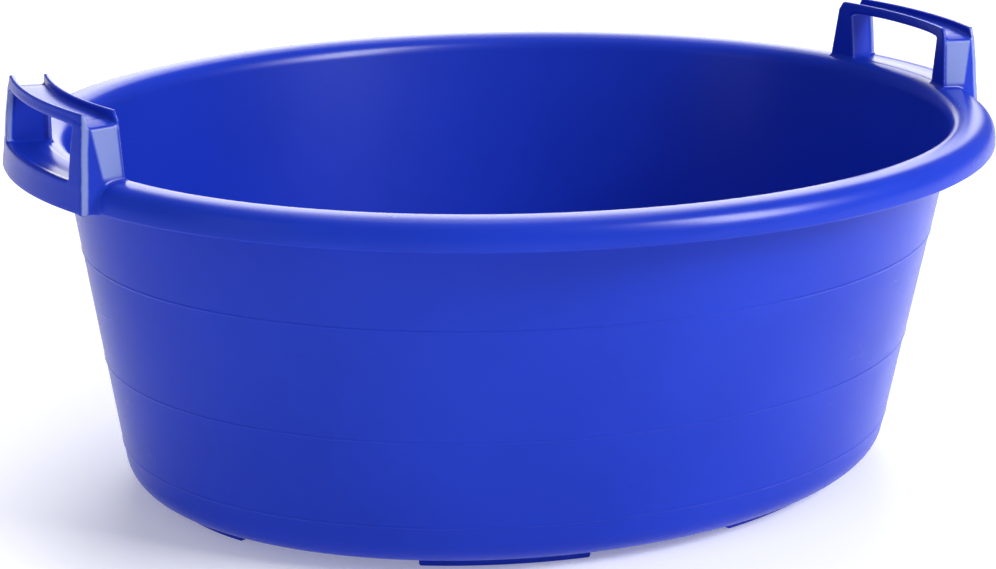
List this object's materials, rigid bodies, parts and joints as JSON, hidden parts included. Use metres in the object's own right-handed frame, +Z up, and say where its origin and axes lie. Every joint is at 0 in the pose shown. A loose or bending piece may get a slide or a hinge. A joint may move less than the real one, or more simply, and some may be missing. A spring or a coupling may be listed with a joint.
{
  "type": "oval stable tub",
  "caption": "Oval moulded plastic feed tub with drafted stepped walls, a rolled rim, a broken foot ring and an open channel grip at each end.",
  "frame": {"origin": "on the ground plane under the middle of the tub: the centre of the underside of the bounding box", "axes": "+X along the length of the oval, from handle to handle; +Z up; +Y across the tub"},
  "size_m": [0.678, 0.55, 0.2775],
  "materials": {
    "tub_plastic": "glossy injection moulded polyethylene, saturated blue, fine handling scuffs",
    "foot_plastic": "the same blue polyethylene, slightly duller where it rubs on the ground",
    "handle_plastic": "the same blue polyethylene, glossy, with softened moulded edges"
  },
  "bodies": {
    "root": {"floor_pan": "tub_plastic", "tub_wall": "tub_plastic", "rolled_rim": "tub_plastic", "side_foot_1": "foot_plastic", "side_foot_2": "foot_plastic", "side_foot_3": "foot_plastic", "side_foot_4": "foot_plastic", "end_foot_1": "foot_plastic", "end_foot_2": "foot_plastic", "right_apron": "handle_plastic", "right_inner_panel": "handle_plastic", "right_grip_trough": "handle_plastic", "right_back_post": "handle_plastic", "right_front_post": "handle_plastic", "left_apron": "handle_plastic", "left_inner_panel": "handle_plastic", "left_grip_trough": "handle_plastic", "left_back_post": "handle_plastic", "left_front_post": "handle_plastic"}
  },
  "joints": []
}
